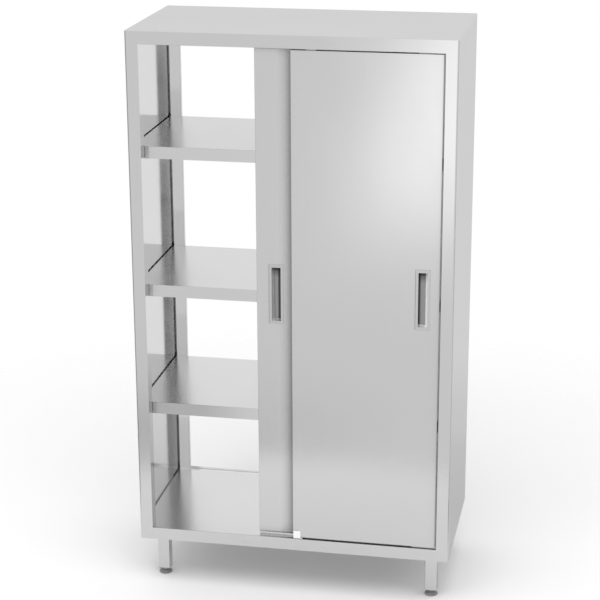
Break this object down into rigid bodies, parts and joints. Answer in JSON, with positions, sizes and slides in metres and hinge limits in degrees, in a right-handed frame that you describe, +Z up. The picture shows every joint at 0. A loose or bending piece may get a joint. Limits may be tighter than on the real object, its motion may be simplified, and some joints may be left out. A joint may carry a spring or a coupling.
{
  "type": "sliding door cabinet",
  "caption": "Tall stainless steel storage cabinet with sliding doors hung on rollers, fixed shelves, an open back and short legs with adjustable feet.",
  "frame": {"origin": "on the floor, in the middle of the cabinet's footprint", "axes": "+Z up, +X to the right seen from the front, the front faces -Y"},
  "size_m": [1, 0.5, 1.8],
  "materials": {
    "frame_steel": "satin",
    "panel_steel": "satin",
    "shelf_steel": "polished",
    "door_steel": "satin",
    "handle_steel": "satin",
    "fixing_steel": "bright zinc",
    "track_aluminium": "natural anodised",
    "core_board": "raw board",
    "stop_rubber": "matt",
    "guide_nylon": "matt",
    "roller_nylon": "smooth",
    "foot_plastic": "matt"
  },
  "bodies": {
    "cabinet": {"front_left_post": "frame_steel", "front_right_post": "frame_steel", "rear_left_post": "frame_steel", "rear_right_post": "frame_steel", "front_top_rail": "frame_steel", "rear_top_rail": "frame_steel", "left_top_rail": "frame_steel", "right_top_rail": "frame_steel", "front_bottom_rail": "frame_steel", "rear_bottom_rail": "frame_steel", "left_bottom_rail": "frame_steel", "right_bottom_rail": "frame_steel", "left_side_panel": "panel_steel", "left_leg_beam": "frame_steel", "right_side_panel": "panel_steel", "right_leg_beam": "frame_steel", "top_panel": "panel_steel", "bottom_deck": "shelf_steel", "upper_shelf": "shelf_steel", "middle_shelf": "shelf_steel", "lower_shelf": "shelf_steel", "shelf_stiffeners": "shelf_steel", "shelf_brackets": "frame_steel", "front_left_leg": "frame_steel", "front_right_leg": "frame_steel", "rear_left_leg": "frame_steel", "rear_right_leg": "frame_steel", "leg_inserts": "foot_plastic", "door_track": "track_aluminium", "track_rivets": "fixing_steel", "track_stops": "stop_rubber", "door_guide": "guide_nylon", "guide_screws": "fixing_steel"},
    "left_door": {"left_door_outer_skin": "door_steel", "left_door_inner_skin": "door_steel", "left_door_core": "core_board", "left_door_handle": "handle_steel", "left_door_hangers": "fixing_steel", "left_door_axle_pins": "fixing_steel", "left_door_hanger_screws": "fixing_steel"},
    "left_door_left_rollers": {"left_door_left_rollers": "roller_nylon"},
    "left_door_right_rollers": {"left_door_right_rollers": "roller_nylon"},
    "right_door": {"right_door_outer_skin": "door_steel", "right_door_inner_skin": "door_steel", "right_door_core": "core_board", "right_door_handle": "handle_steel", "right_door_hangers": "fixing_steel", "right_door_axle_pins": "fixing_steel", "right_door_hanger_screws": "fixing_steel"},
    "right_door_left_rollers": {"right_door_left_rollers": "roller_nylon"},
    "right_door_right_rollers": {"right_door_right_rollers": "roller_nylon"},
    "front_left_foot": {"front_left_foot_stem": "fixing_steel", "front_left_foot_pad": "foot_plastic"},
    "front_right_foot": {"front_right_foot_stem": "fixing_steel", "front_right_foot_pad": "foot_plastic"},
    "rear_left_foot": {"rear_left_foot_stem": "fixing_steel", "rear_left_foot_pad": "foot_plastic"},
    "rear_right_foot": {"rear_right_foot_stem": "fixing_steel", "rear_right_foot_pad": "foot_plastic"}
  },
  "joints": [
    {"name": "left_door_slide", "type": "slide", "parent": "cabinet", "child": "left_door", "axis": [1, 0, 0], "range_m": [-0.3465, 0.025]},
    {"name": "right_door_slide", "type": "slide", "parent": "cabinet", "child": "right_door", "axis": [1, 0, 0], "range_m": [-0.43, 0]},
    {"name": "left_door_left_roller_spin", "type": "hinge", "parent": "left_door", "child": "left_door_left_rollers", "pos_m": [-0.05, -0.219, 1.7803], "axis": [0, 1, 0], "continuous": true},
    {"name": "left_door_right_roller_spin", "type": "hinge", "parent": "left_door", "child": "left_door_right_rollers", "pos_m": [0.32, -0.219, 1.7803], "axis": [0, 1, 0], "continuous": true},
    {"name": "right_door_left_roller_spin", "type": "hinge", "parent": "right_door", "child": "right_door_left_rollers", "pos_m": [0.063, -0.239, 1.7803], "axis": [0, 1, 0], "continuous": true},
    {"name": "right_door_right_roller_spin", "type": "hinge", "parent": "right_door", "child": "right_door_right_rollers", "pos_m": [0.3965, -0.239, 1.7803], "axis": [0, 1, 0], "continuous": true},
    {"name": "front_left_foot_height", "type": "slide", "parent": "cabinet", "child": "front_left_foot", "axis": [0, 0, 1], "range_m": [-0.025, 0.002]},
    {"name": "front_right_foot_height", "type": "slide", "parent": "cabinet", "child": "front_right_foot", "axis": [0, 0, 1], "range_m": [-0.025, 0.002]},
    {"name": "rear_left_foot_height", "type": "slide", "parent": "cabinet", "child": "rear_left_foot", "axis": [0, 0, 1], "range_m": [-0.025, 0.002]},
    {"name": "rear_right_foot_height", "type": "slide", "parent": "cabinet", "child": "rear_right_foot", "axis": [0, 0, 1], "range_m": [-0.025, 0.002]}
  ],
  "couplings": [
    {"joint": "left_door_left_roller_spin", "follows": "left_door_slide", "rad_per_m": 142.86},
    {"joint": "left_door_right_roller_spin", "follows": "left_door_slide", "rad_per_m": 142.86},
    {"joint": "right_door_left_roller_spin", "follows": "right_door_slide", "rad_per_m": 142.86},
    {"joint": "right_door_right_roller_spin", "follows": "right_door_slide", "rad_per_m": 142.86}
  ]
}
